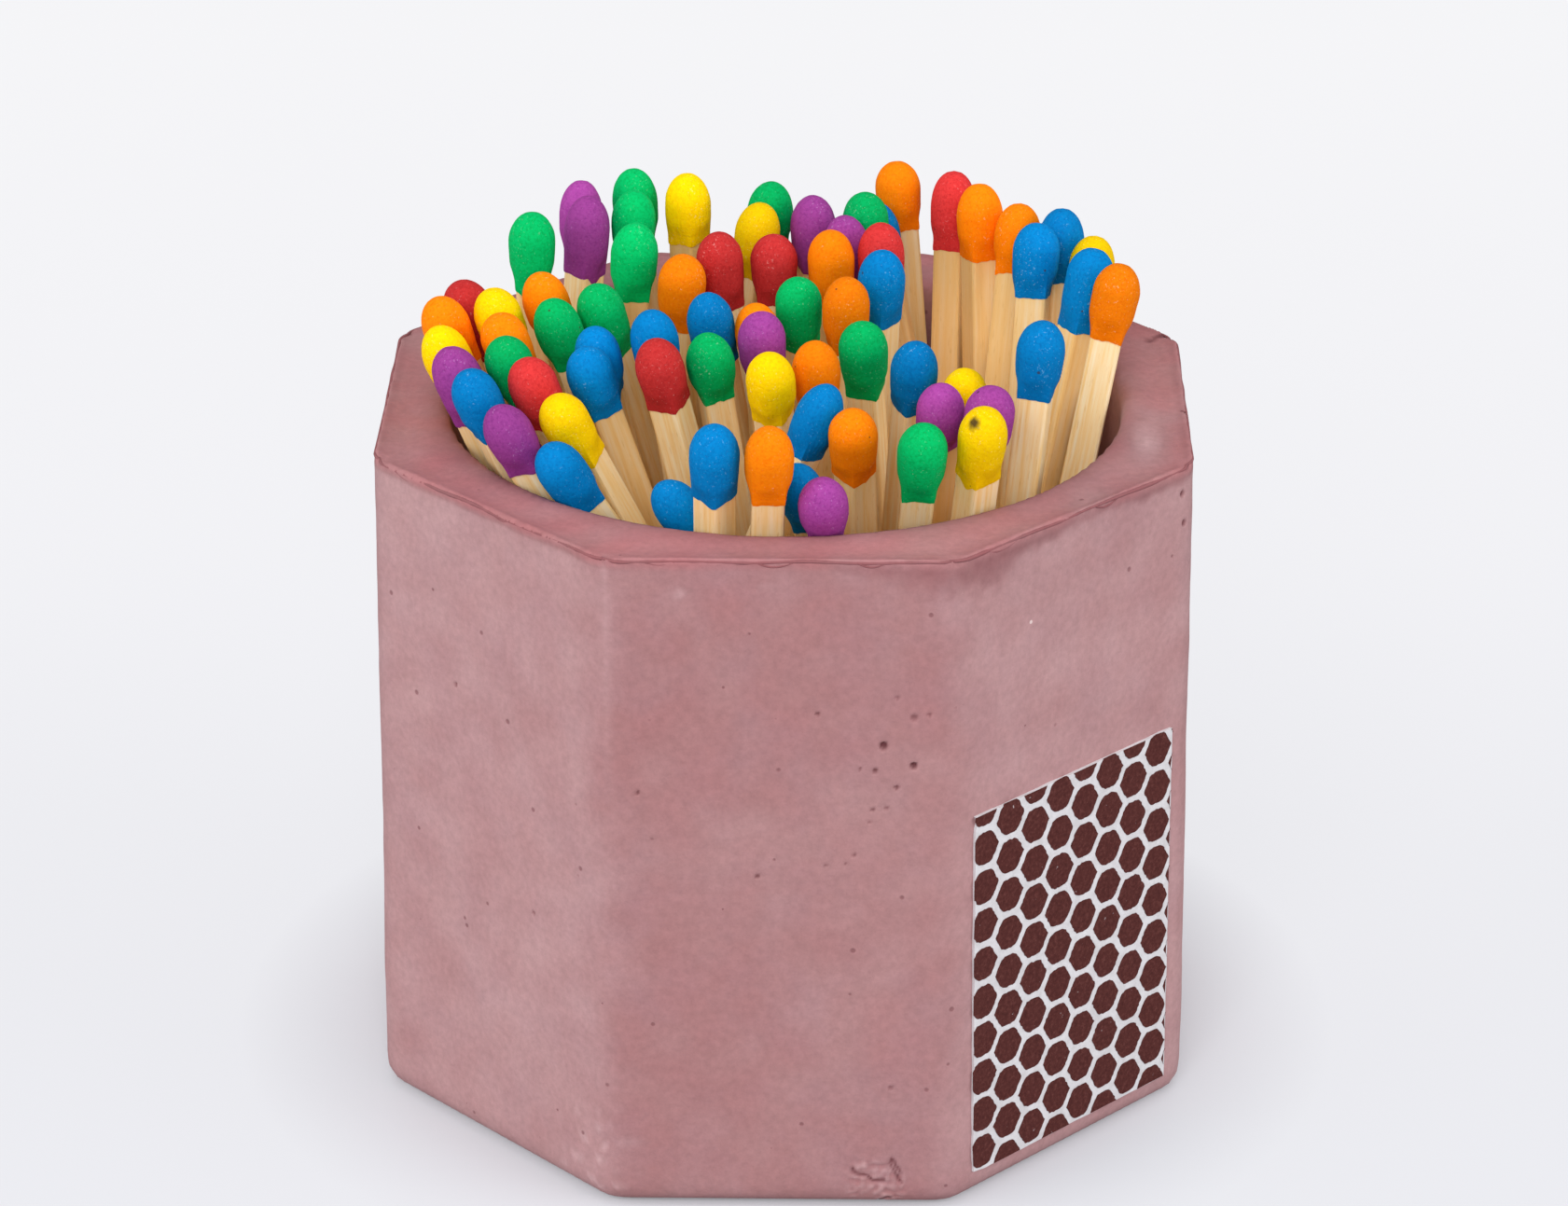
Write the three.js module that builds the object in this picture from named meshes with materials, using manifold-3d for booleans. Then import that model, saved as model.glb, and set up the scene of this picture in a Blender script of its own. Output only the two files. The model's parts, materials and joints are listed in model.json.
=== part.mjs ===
// Match holder: an eight-sided pot cast in one piece, with a round bore full of loose coloured matches
// and a self-adhesive honeycomb striker label on one facet. Millimetres, +Z up, origin at the middle
// of the underside, front facet facing -Y.
import * as THREE from 'three';
import { mergeGeometries, mergeVertices } from 'three/addons/utils/BufferGeometryUtils.js';
import Module from 'manifold-3d';

const wasm = await Module();
wasm.setup();

// Pot
const POT_HEIGHT = 43.7;
const BORE_DIAMETER = 42; // at the rim
const RIM_WALL = 4; // from the bore to a facet, at the rim
const SIDE_FLARE = 0.5; // how much further out a facet is at the base than at the rim
const BORE_DRAFT = 1; // how much smaller the bore's radius is at the floor
const FLOOR_THICKNESS = 8.5;
const BASE_EDGE_RADIUS = 1.5;
const LIP_RADIUS = 1.2;

// Striker label
const LABEL_SIDE_MARGIN = 1.6; // bare facet on each side
const LABEL_FOOT_MARGIN = 0.4; // bare facet above the rounded base edge
const LABEL_HEIGHT = 24.6;
const PAPER_THICKNESS = 0.2;
const STRIKER_THICKNESS = 0.1;
const ADHESIVE_THICKNESS = 0.1;
const CELL_COLUMN_PITCH = 2.2;
const CELL_ROW_PITCH = 2.68;
const CELL_WIDTH = 2.44;
const CELL_HEIGHT = 2.3;
const CELL_COLUMN_INSET = 1; // from the label's left edge to the middle of its first column

// Matches
const MATCH_LENGTH = 44;
const SPLINT_WIDTH = 2;
const HEAD_DIAMETER = 3.1;
const HEAD_LENGTH = 5.2;
const MATCH_CLEARANCE = 0.15; // least gap between two matches, also while one is pulled out
const BORE_CLEARANCE = 0.3; // least gap from a match to the pot
const PULL_OUT = 42; // how far a match slides along itself to come out of the pot

// The picture that the bundle was read from: the eye, which looks at the top of an upright match in the
// middle, and the sizes that the pot and its matches have in that picture's millimetres
const PICTURE = {
  eyeDistance: 322,
  eyeElevation: THREE.MathUtils.degToRad(21),
  eyeAzimuth: THREE.MathUtils.degToRad(0.9),
  room: {
    floorLevel: 8.5, floorRadius: 20, rimLevel: 42.5, rimRadius: 21, boreClearance: 0.3, matchClearance: 0.15,
    matchLength: 44, pullOut: 42, splintWidth: 2, headDiameter: 3.1,
  },
};

// The bundle in that picture: the head's colour, how far its round end is seen to the right of
// and below the top of an upright match in the middle, and how far its foot leans to the right.
const BUNDLE = [
  // Back, from left to right
  ['green', -15.5, -1.5, 1], ['purple', -11.5, -3.5, -1], ['green', -8.5, -3.5, 0],
  ['yellow', -6.5, -4.5, 1], ['green', -9, -1, -5], ['green', -1, -3.5, -9],
  ['purple', 2, -3, 0], ['green', 4.5, -3, 0], ['orange', 7, -5, 5], ['red', 10.5, -6, -2],
  ['orange', 12, -3.5, 1], ['orange', 14.5, -4, -6], ['blue', 17.5, -2.5, -2], ['blue', 16, -1.5, -3],
  ['blue', 19, 0, -15], ['orange', 21, 1, -10],
  // Left, from the back to the front
  ['red', -20, 2.5, 25], ['yellow', -18, 3, 25], ['orange', -21, 4, 24], ['yellow', -21.5, 5.5, 24],
  ['orange', -18.5, 4.5, 25], ['orange', -15, 2, 26], ['green', -12, 1.5, 15], ['green', -15.5, 3.5, 21],
  ['purple', -21, 7, 18], ['green', -18.5, 6.5, 25], ['red', -15.5, 7, 26], ['blue', -12.5, 6.5, 21],
  ['yellow', -15, 9, 28], ['blue', -19.5, 9, 24], ['purple', -17.5, 10, 28], ['blue', -15.5, 12, 30],
  // Middle, from the back to the front
  ['orange', -6.5, 0.5, -11], ['red', -4, 0.5, 6], ['red', -1, 0, 5], ['orange', 2, -0.5, 2],
  ['red', 5, -1, 0], ['blue', 6, 0.5, -7], ['blue', -8, 4.5, 11], ['blue', -5, 3.5, 7],
  ['purple', -1.5, 4.5, -3], ['green', 1.5, 2.5, 0], ['orange', 4, 2.5, -1], ['red', -7.5, 6, 9],
  ['green', -5, 5.5, 8], ['yellow', -1, 7, 4], ['orange', 2, 6, -1], ['green', 4, 5, 1],
  ['blue', 8, 6, -5], ['blue', 15.5, 5, -7],
  // Front, from right to left
  ['purple', 10, 9, -3], ['purple', 12.5, 9.5, -7], ['yellow', 13.5, 11, -6], ['green', 9, 11.5, -6],
  ['orange', 4, 10.5, 1], ['orange', -1, 13, -2], ['blue', -4, 14, 3], ['purple', 1.5, 15.5, 1],
];

const COLOURS = {
  plaster: 0xb58486,
  striker: 0x5a2f2e,
  blue: 0x0f7fc8,
  green: 0x12a85a,
  purple: 0x9a3fa0,
  yellow: 0xf5cc10,
  orange: 0xfb8116,
  red: 0xd03a3f,
};

// Sizes that follow from those above
const FACETS = 8;
const FACET_ANGLE = (2 * Math.PI) / FACETS;
const boreRimRadius = BORE_DIAMETER / 2;
const boreFloorRadius = boreRimRadius - BORE_DRAFT;
const rimApothem = boreRimRadius + RIM_WALL;
const baseApothem = rimApothem + SIDE_FLARE;
const room = {
  floorLevel: FLOOR_THICKNESS, floorRadius: boreFloorRadius,
  rimLevel: POT_HEIGHT - LIP_RADIUS, rimRadius: boreRimRadius,
  boreClearance: BORE_CLEARANCE, matchClearance: MATCH_CLEARANCE,
  matchLength: MATCH_LENGTH, pullOut: PULL_OUT,
  splintWidth: SPLINT_WIDTH, headDiameter: HEAD_DIAMETER,
};

const paint = (name, roughness) => new THREE.MeshStandardMaterial({ color: COLOURS[name], roughness, metalness: 0 });

// A closed geometry as a solid, with the flat triangles at its poles left out
function solidOf(geometry) {
  const bare = new THREE.BufferGeometry();
  bare.setAttribute('position', geometry.getAttribute('position').clone());
  if (geometry.index) bare.setIndex(geometry.index.clone());
  const merged = mergeVertices(bare, 1e-4);
  const corners = merged.index.array;
  const triangles = [];
  for (let i = 0; i < corners.length; i += 3) {
    const [a, b, c] = corners.subarray(i, i + 3);
    if (a !== b && b !== c && c !== a) triangles.push(a, b, c);
  }
  return new wasm.Manifold(new wasm.Mesh({
    numProp: 3,
    vertProperties: new Float32Array(merged.getAttribute('position').array),
    triVerts: new Uint32Array(triangles),
  }));
}

function geometryOf(solid) {
  const { vertProperties, triVerts, numProp } = solid.getMesh();
  const positions = new Float32Array((vertProperties.length / numProp) * 3);
  for (let i = 0; i < positions.length / 3; i++) {
    positions.set(vertProperties.subarray(i * numProp, i * numProp + 3), i * 3);
  }
  const geometry = new THREE.BufferGeometry();
  geometry.setAttribute('position', new THREE.BufferAttribute(positions, 3));
  geometry.setIndex(new THREE.BufferAttribute(new Uint32Array(triVerts), 1));
  geometry.computeVertexNormals();
  return geometry;
}

// A profile of [radius, height] points, turned about +Z from the bottom up
function turned(profile, sides, firstCorner = 0) {
  const points = profile.map(([radius, height]) => new THREE.Vector2(radius, height));
  return new THREE.LatheGeometry(points, sides, firstCorner).rotateX(Math.PI / 2);
}

// Points of an arc of a profile, from one angle to another
function arc(radius, height, size, from, to, steps) {
  return Array.from({ length: steps + 1 }, (_, i) => {
    const angle = from + ((to - from) * i) / steps;
    return [radius + size * Math.cos(angle), height + size * Math.sin(angle)];
  });
}

function makePot() {
  const corner = 1 / Math.cos(FACET_ANGLE / 2);
  const rimCorner = rimApothem * corner;
  const baseCorner = baseApothem * corner;
  const edgeSteps = 3;
  const outside = turned([
    [0, 0],
    ...arc(baseCorner - BASE_EDGE_RADIUS, BASE_EDGE_RADIUS, BASE_EDGE_RADIUS, -Math.PI / 2, 0, edgeSteps),
    [rimCorner, POT_HEIGHT],
    [0, POT_HEIGHT],
  ], FACETS, FACET_ANGLE / 2);
  const boreSides = 40;
  const lipSteps = 3;
  const overcut = 1;
  const lipMiddle = boreRimRadius + LIP_RADIUS;
  const bore = turned([
    [0, FLOOR_THICKNESS],
    [boreFloorRadius, FLOOR_THICKNESS],
    ...arc(lipMiddle, POT_HEIGHT - LIP_RADIUS, LIP_RADIUS, Math.PI, Math.PI / 2, lipSteps),
    [lipMiddle, POT_HEIGHT + overcut],
    [0, POT_HEIGHT + overcut],
  ], boreSides);
  const pot = new THREE.Mesh(geometryOf(solidOf(outside).subtract(solidOf(bore))), paint('plaster', 0.9));
  pot.name = 'pot';
  return pot;
}

// A frame on the facet right of the front one: x across it, y up it, z out of it, origin on its base line
function labelSeat() {
  const angle = -Math.PI / 2 + FACET_ANGLE;
  const outward = new THREE.Vector3(Math.cos(angle), Math.sin(angle), 0);
  const across = new THREE.Vector3(-Math.sin(angle), Math.cos(angle), 0);
  const upward = outward.clone().multiplyScalar(-SIDE_FLARE).setZ(POT_HEIGHT).normalize();
  const normal = across.clone().cross(upward);
  const seat = new THREE.Group();
  seat.applyMatrix4(new THREE.Matrix4().makeBasis(across, upward, normal));
  seat.position.copy(outward).multiplyScalar(baseApothem);
  return seat;
}

// Paper with the striking compound printed on it in a honeycomb of raised cells, cut off at its edges
function makeStrikerLabel() {
  const width = 2 * rimApothem * Math.tan(FACET_ANGLE / 2) - 2 * LABEL_SIDE_MARGIN;
  const left = -width / 2;
  const foot = BASE_EDGE_RADIUS + LABEL_FOOT_MARGIN;
  const top = foot + LABEL_HEIGHT;
  const sheetAt = (thickness) => new THREE.BoxGeometry(width, LABEL_HEIGHT, thickness)
    .translate(0, foot + LABEL_HEIGHT / 2, ADHESIVE_THICKNESS + thickness / 2);
  const cellOutline = new THREE.Shape([
    [CELL_WIDTH / 2, 0], [CELL_WIDTH / 4, CELL_HEIGHT / 2], [-CELL_WIDTH / 4, CELL_HEIGHT / 2],
    [-CELL_WIDTH / 2, 0], [-CELL_WIDTH / 4, -CELL_HEIGHT / 2], [CELL_WIDTH / 4, -CELL_HEIGHT / 2],
  ].map(([x, y]) => new THREE.Vector2(x, y)));
  const raised = PAPER_THICKNESS + STRIKER_THICKNESS;
  const cells = [];
  for (let column = 0, x = left + CELL_COLUMN_INSET; x - CELL_WIDTH / 2 < -left; column++, x += CELL_COLUMN_PITCH) {
    const stagger = column % 2 ? CELL_ROW_PITCH / 2 : 0;
    for (let y = top - stagger; y + CELL_HEIGHT / 2 > foot; y -= CELL_ROW_PITCH) {
      cells.push(new THREE.ExtrudeGeometry(cellOutline, { depth: raised, bevelEnabled: false })
        .translate(x, y, ADHESIVE_THICKNESS));
    }
  }
  const printed = solidOf(mergeGeometries(cells)).intersect(solidOf(sheetAt(raised)));
  const label = new THREE.Mesh(geometryOf(solidOf(sheetAt(PAPER_THICKNESS)).add(printed)), paint('striker', 0.95));
  label.name = 'striker_label';
  const seat = labelSeat();
  seat.add(label);
  return seat;
}

// One match standing on the origin: a square splint with an egg-shaped dipped head round its end
function matchGeometry() {
  const sides = 8;
  const headReach = HEAD_DIAMETER / 2;
  const headStart = MATCH_LENGTH - HEAD_LENGTH;
  const widest = MATCH_LENGTH - HEAD_LENGTH * 0.42;
  const neck = SPLINT_WIDTH * 0.52;
  const endSteps = 3;
  const end = Array.from({ length: endSteps }, (_, i) => {
    const angle = ((i + 1) / (endSteps + 1)) * (Math.PI / 2);
    return [headReach * Math.cos(angle), widest + (MATCH_LENGTH - widest) * Math.sin(angle)];
  });
  const head = turned([
    [0, headStart],
    [neck, headStart],
    [(neck + 2 * headReach) / 3, (headStart + widest) / 2],
    [headReach, widest],
    ...end,
    [0, MATCH_LENGTH],
  ], sides, Math.PI / sides);
  const splintEnd = widest;
  const splint = new THREE.BoxGeometry(SPLINT_WIDTH, SPLINT_WIDTH, splintEnd).translate(0, 0, splintEnd / 2);
  return geometryOf(solidOf(splint).add(solidOf(head)));
}

// How far a match reaches out from its middle line, and the lengths along it that its moves need
function reaches(of) {
  const splintReach = of.splintWidth / Math.SQRT2;
  const headReach = of.headDiameter / 2;
  const reach = Math.max(splintReach, headReach);
  return {
    ...of, splintReach, headReach,
    roundEndMiddle: of.matchLength - headReach,
    sweptLength: of.matchLength + of.pullOut,
    floorLimit: of.floorRadius - reach - of.boreClearance,
    rimLimit: of.rimRadius - reach - of.boreClearance,
  };
}

// How many of the bundle's matches the bore has room for, when they stand loosely
function roomForMatches(made) {
  const looseFill = 0.6;
  const pitch = made.splintReach + made.headReach + made.matchClearance;
  return Math.floor((looseFill * Math.PI * made.floorLimit ** 2) / (pitch ** 2 * Math.sin(Math.PI / 3)));
}

// The eye, the directions right and up in the picture, and the sight line through a place in it
function bundleView(seen) {
  const { eyeDistance, eyeElevation, eyeAzimuth } = PICTURE;
  const target = new THREE.Vector3(0, 0, seen.floorLevel + seen.matchLength);
  const back = new THREE.Vector3(
    Math.sin(eyeAzimuth) * Math.cos(eyeElevation),
    -Math.cos(eyeAzimuth) * Math.cos(eyeElevation),
    Math.sin(eyeElevation),
  );
  const right = new THREE.Vector3(Math.cos(eyeAzimuth), Math.sin(eyeAzimuth), 0);
  const up = back.clone().cross(right);
  const eye = target.clone().addScaledVector(back, eyeDistance);
  const sightLine = (across, below) => target.clone()
    .addScaledVector(right, across).addScaledVector(up, -below).sub(eye).normalize();
  return { eye, right, up, sightLine };
}

// A match of the bundle: its foot and the middle of its head's round end in plan, and its sight line
function looseMatch([colour, across, below, leanDegrees], view, seen) {
  const sight = view.sightLine(across, below);
  const headsAboveRim = 2.75;
  const travel = (seen.rimLevel + headsAboveRim - view.eye.z) / sight.z;
  const head = view.eye.clone().addScaledVector(sight, travel).setZ(0).clampLength(0, seen.rimRadius);
  const footSpread = 0.6;
  const footShift = new THREE.Vector3(1, 4, 0);
  const foot = head.clone().multiplyScalar(footSpread).add(footShift);
  return { colour, sight, head, foot, lean: THREE.MathUtils.degToRad(leanDegrees), axis: new THREE.Vector3() };
}

// Aims a match from its foot to its head, and stands its lowest corner just off the floor
function aim({ foot, head, axis }, to) {
  axis.set(head.x - foot.x, head.y - foot.y, 0);
  const run = axis.length();
  const leastRise = to.roundEndMiddle / 2;
  axis.z = Math.sqrt(Math.max(to.roundEndMiddle ** 2 - run ** 2, leastRise ** 2));
  axis.normalize();
  foot.z = to.floorLevel + to.boreClearance + to.splintReach * Math.sqrt(1 - axis.z ** 2);
}

// Moves a match a little towards where the bundle's list says that it is seen
function seek({ foot, head, axis, sight, lean }, view, seen, strength) {
  const { clamp } = THREE.MathUtils;
  const fromEye = foot.clone().addScaledVector(axis, seen.roundEndMiddle).sub(view.eye);
  const offset = sight.clone().multiplyScalar(fromEye.dot(sight)).sub(fromEye);
  head.x += 0.25 * strength * offset.x;
  const leansAway = 0.12;
  const mustRise = offset.z > 0;
  if (!(mustRise && axis.y > leansAway)) head.y += clamp(0.8 * strength * offset.y, -0.4, 0.4);
  const tooHigh = -0.6;
  if (offset.z < tooHigh) foot.y += Math.min(0.3, -0.05 * offset.z) * strength;
  const seenLean = Math.atan2(-axis.dot(view.right), axis.dot(view.up));
  foot.x += 0.03 * strength * Math.tan(clamp(lean - seenLean, -0.5, 0.5)) * seen.roundEndMiddle;
}

// Pushes a match sideways by a vector that acts at a distance along it
function push({ foot, head }, x, y, along, to) {
  const headShare = Math.min(along / to.roundEndMiddle, 1);
  const footShare = 1 - headShare;
  const evenly = Math.max(headShare ** 2 + footShare ** 2, 0.5);
  head.x += (x * headShare) / evenly;
  head.y += (y * headShare) / evenly;
  foot.x += (x * footShare) / evenly;
  foot.y += (y * footShare) / evenly;
}

// Parts two matches where they, or their ways out of the pot, come closer than the clearance: at their
// closest, and beside the head of each
function part(first, second, to, swell) {
  const { clamp } = THREE.MathUtils;
  const { foot: p, axis: u } = first;
  const { foot: q, axis: v } = second;
  const [wx, wy, wz] = [p.x - q.x, p.y - q.y, p.z - q.z];
  const uv = u.x * v.x + u.y * v.y + u.z * v.z;
  const uw = u.x * wx + u.y * wy + u.z * wz;
  const vw = v.x * wx + v.y * wy + v.z * wz;
  const besideSecond = (t) => clamp(uv * t - uw, 0, to.sweptLength);
  const besideFirst = (s) => clamp(uv * s + vw, 0, to.sweptLength);
  const slant = Math.max(1 - uv * uv, 1e-9);
  const crossing = besideFirst(clamp((uv * vw - uw) / slant, 0, to.sweptLength));
  const closest = besideSecond(crossing);
  const places = [
    [closest, besideFirst(closest)],
    [to.matchLength, besideFirst(to.matchLength)],
    [besideSecond(to.matchLength), to.matchLength],
  ];
  for (const [s, t] of places) {
    const [nx, ny, nz] = [wx + u.x * s - v.x * t, wy + u.y * s - v.y * t, wz + u.z * s - v.z * t];
    const distance = Math.hypot(nx, ny, nz);
    const overlap = (reachAt(s, to) + reachAt(t, to) + to.matchClearance) * swell - distance;
    if (overlap > 0 && distance > 0) {
      const share = (0.3 * overlap) / distance;
      push(first, nx * share, ny * share, s, to);
      push(second, -nx * share, -ny * share, t, to);
    }
  }
}

// How far out a match reaches at a distance along it, as a slim cone round its splint and its head
function reachAt(along, to) {
  return to.splintReach + (to.headReach - to.splintReach) * Math.min(along / to.matchLength, 1);
}

// Where a match passes the rim
function atRim({ foot, axis }, to) {
  const along = (to.rimLevel - foot.z) / axis.z;
  return { along, x: foot.x + axis.x * along, y: foot.y + axis.y * along };
}

// Keeps a match inside the bore, at the floor and where it passes the rim
function keepInBore(match, to) {
  const { foot } = match;
  const footRadius = Math.hypot(foot.x, foot.y);
  if (footRadius > to.floorLimit) {
    foot.x *= to.floorLimit / footRadius;
    foot.y *= to.floorLimit / footRadius;
  }
  aim(match, to);
  const { along, x, y } = atRim(match, to);
  const radius = Math.hypot(x, y);
  const excess = radius - to.rimLimit;
  if (excess > 0) push(match, (-0.8 * excess * x) / radius, (-0.8 * excess * y) / radius, along, to);
  aim(match, to);
}

// One round in which all the matches make way for one another and for the pot
function makeWay(matches, to, swell = 1) {
  for (let i = 0; i < matches.length; i++) {
    for (let j = i + 1; j < matches.length; j++) part(matches[i], matches[j], to, swell);
  }
  for (const match of matches) keepInBore(match, to);
}

// Takes a match from the picture to the pot as it is made, at the same place on the floor and in the rim
function seat(match, from, to) {
  const { foot, head, axis } = match;
  const pass = atRim(match, from);
  const floorScale = to.floorLimit / from.floorLimit;
  const rimScale = to.rimLimit / from.rimLimit;
  foot.set(foot.x * floorScale, foot.y * floorScale, foot.z - from.floorLevel + to.floorLevel);
  axis.set(pass.x * rimScale, pass.y * rimScale, to.rimLevel).sub(foot).normalize();
  head.copy(foot).addScaledVector(axis, to.roundEndMiddle);
  aim(match, to);
}

// Settles the bundle in the picture, where each match is drawn to where it is seen while all keep clear of
// one another, and then in the pot
function settledBundle() {
  const seen = reaches(PICTURE.room);
  const made = reaches(room);
  const view = bundleView(seen);
  const matches = BUNDLE.slice(0, roomForMatches(made)).map((row) => looseMatch(row, view, seen));
  const steps = 2500;
  const drawnUntil = 0.85 * steps;
  const fade = 0.08 * steps;
  const swollenAt = 0.6 * steps;
  matches.forEach((match) => aim(match, seen));
  for (let step = 0; step < steps; step++) {
    const strength = Math.min(1, Math.max(0, 1 - (step - drawnUntil) / fade));
    const swell = Math.min(1, 0.9 + (0.1 * step) / swollenAt);
    for (const match of matches) {
      seek(match, view, seen, strength);
      aim(match, seen);
    }
    makeWay(matches, seen, swell);
  }
  matches.forEach((match) => seat(match, seen, made));
  const seatingSteps = 600;
  for (let step = 0; step < seatingSteps; step++) makeWay(matches, made);
  return matches;
}

function makeMatches() {
  const bundle = new THREE.Group();
  const geometry = matchGeometry();
  const upright = new THREE.Vector3(0, 0, 1);
  const turnStep = THREE.MathUtils.degToRad(137.5);
  settledBundle().forEach(({ colour, foot, axis }, i) => {
    const match = new THREE.Mesh(geometry, paint(colour, 0.8));
    match.name = `match_${String(i + 1).padStart(2, '0')}_${colour}`;
    match.position.copy(foot);
    match.quaternion.setFromUnitVectors(upright, axis);
    match.rotateZ(i * turnStep);
    bundle.add(match);
  });
  return bundle;
}

const holder = new THREE.Group();
holder.add(makePot(), makeStrikerLabel(), makeMatches());

export default holder;
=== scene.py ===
"""A match holder: a cast plaster pot full of coloured matches, with a striker label on one facet."""

import json
import math
import random
from functools import partial

import bmesh
import bpy
import numpy as np
from mathutils import Matrix, Vector, noise


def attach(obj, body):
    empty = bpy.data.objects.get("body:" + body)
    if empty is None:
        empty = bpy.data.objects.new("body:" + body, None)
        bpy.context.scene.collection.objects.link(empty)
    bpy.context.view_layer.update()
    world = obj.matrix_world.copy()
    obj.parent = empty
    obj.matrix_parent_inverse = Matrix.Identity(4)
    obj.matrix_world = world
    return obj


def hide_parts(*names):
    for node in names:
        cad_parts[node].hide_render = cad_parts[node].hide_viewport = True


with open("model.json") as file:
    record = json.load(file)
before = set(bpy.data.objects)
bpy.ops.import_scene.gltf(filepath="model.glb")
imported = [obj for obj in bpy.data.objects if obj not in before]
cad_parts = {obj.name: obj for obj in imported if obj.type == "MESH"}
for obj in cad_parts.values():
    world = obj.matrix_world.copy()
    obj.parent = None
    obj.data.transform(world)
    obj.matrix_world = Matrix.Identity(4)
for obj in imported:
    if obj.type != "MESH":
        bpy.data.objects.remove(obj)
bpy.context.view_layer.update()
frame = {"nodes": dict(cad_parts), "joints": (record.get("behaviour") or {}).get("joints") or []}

MM = 0.001

# The photograph's frame and the camera that took it
PHOTO_WIDTH = 1681
PHOTO_HEIGHT = 1293
SENSOR_MM = 36
FOCAL_PIXELS = 5562
EYE_MM = (4.77, -300.51, 168.10)
LOOK_DOWN = math.radians(24.77)
LOOK_LEFT = math.radians(0.93)

# The pot's sizes, in millimetres, as in the CAD model
POT_HEIGHT = 43.7
RIM_APOTHEM = 25.0
BASE_APOTHEM = 25.5
BORE_RIM_RADIUS = 21.0
BORE_FLOOR_RADIUS = 20.0
FLOOR_THICKNESS = 8.5
BASE_EDGE_RADIUS = 1.5
LIP_RADIUS = 0.6
FACETS = 8

# The matches' sizes, in millimetres
MATCH_LENGTH = 44.0
SPLINT_WIDTH = 2.0
HEAD_RADIUS = 1.55
HEAD_LENGTH = 5.2
PULL_OUT = 42.0

# The label's sizes, in millimetres, on the facet right of the front one
LABEL_WIDTH = 17.51
LABEL_HEIGHT = 24.6
LABEL_FOOT = 1.9
LABEL_ANGLE = math.radians(-45)
PAPER_FACE = 0.18
PAPER_SUNK = 0.12
PRINT = 0.05


def deselect():
    bpy.ops.object.select_all(action="DESELECT")


def make_active(piece):
    deselect()
    piece.select_set(True)
    bpy.context.view_layer.objects.active = piece


def put_in_scene(item):
    bpy.context.scene.collection.objects.link(item)


def apply_place():
    """Puts the active piece's place, turn and size into its mesh."""
    bpy.ops.object.transform_apply(location=True, rotation=True, scale=True)


def edit(kind):
    """Starts to edit the active piece by its edges or faces."""
    bpy.ops.object.mode_set(mode="EDIT")
    bpy.ops.mesh.select_mode(type=kind)


def end_edit():
    bpy.ops.object.mode_set(mode="OBJECT")


def linear(code):
    """An sRGB hex colour as linear red, green, blue and alpha."""
    values = [int(code[i:i + 2], 16) / 255 for i in (1, 3, 5)]
    return [v / 12.92 if v <= 0.04045 else ((v + 0.055) / 1.055) ** 2.4 for v in values] + [1.0]


def plug(node, inputs):
    """Sets a node's sockets or links them. A node that is linked gives its first live output."""
    for socket, value in inputs.items():
        if isinstance(value, bpy.types.Node):
            value = next(output for output in value.outputs if output.enabled)
        if isinstance(value, bpy.types.NodeSocket):
            node.id_data.links.new(value, node.inputs[socket])
        else:
            node.inputs[socket].default_value = value


def add_node(tree, kind, inputs=None, stops=None, **settings):
    """A shader node with its settings, and its sockets set or linked."""
    made = tree.nodes.new("ShaderNode" + kind)
    for name, value in settings.items():
        setattr(made, name, value)
    for i, (place, colour) in enumerate(stops or []):
        elements = made.color_ramp.elements
        stop = elements[i] if i < len(elements) else elements.new(place)
        stop.position = place
        stop.color = linear(colour)
    plug(made, inputs or {})
    return made


def new_material(name):
    """A material, the way to add nodes to it, and its one shader, which goes to the output."""
    material = bpy.data.materials.new(name)
    material.use_nodes = True
    tree = material.node_tree
    return material, partial(add_node, tree), tree.nodes["Principled BSDF"]


def every(millimetres):
    """The scale at which a pattern repeats about every so many millimetres."""
    return 1 / (millimetres * MM)


def spots(add, place, apart, channel, none_below, least, most):
    """Round spots, so many millimetres apart, in those cells of a pattern that one channel of their random
    colour chooses: the way from a spot's middle and its radius, both as shares of a cell."""
    cells = add("TexVoronoi", {"Vector": place, "Scale": every(apart)})
    chance = add("SeparateColor", {"Color": cells.outputs["Color"]})
    radius = add("MapRange", {
        "Value": chance.outputs[channel], "From Min": none_below, "To Min": least, "To Max": most})
    return cells.outputs["Distance"], radius


def finish(add, shader, colour, height, strength, depth, roughness, ior, specular):
    """Gives a shader its colour, its gloss, and a bump from a height, of so many millimetres."""
    bump = add("Bump", {"Height": height, "Strength": strength, "Distance": depth * MM})
    plug(shader, {"Base Color": colour, "Roughness": roughness, "IOR": ior,
                  "Specular IOR Level": specular, "Normal": bump})


# Camera

camera_data = bpy.data.cameras.new("photo_camera")
camera_data.sensor_fit = "HORIZONTAL"
camera_data.sensor_width = SENSOR_MM
camera_data.lens = FOCAL_PIXELS / PHOTO_WIDTH * SENSOR_MM
camera_data.clip_start = 0.01
camera = bpy.data.objects.new("photo_camera", camera_data)
camera.location = Vector(EYE_MM) * MM
camera.rotation_euler = (math.pi / 2 - LOOK_DOWN, 0, LOOK_LEFT)
put_in_scene(camera)
bpy.context.scene.camera = camera


# Materials

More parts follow.
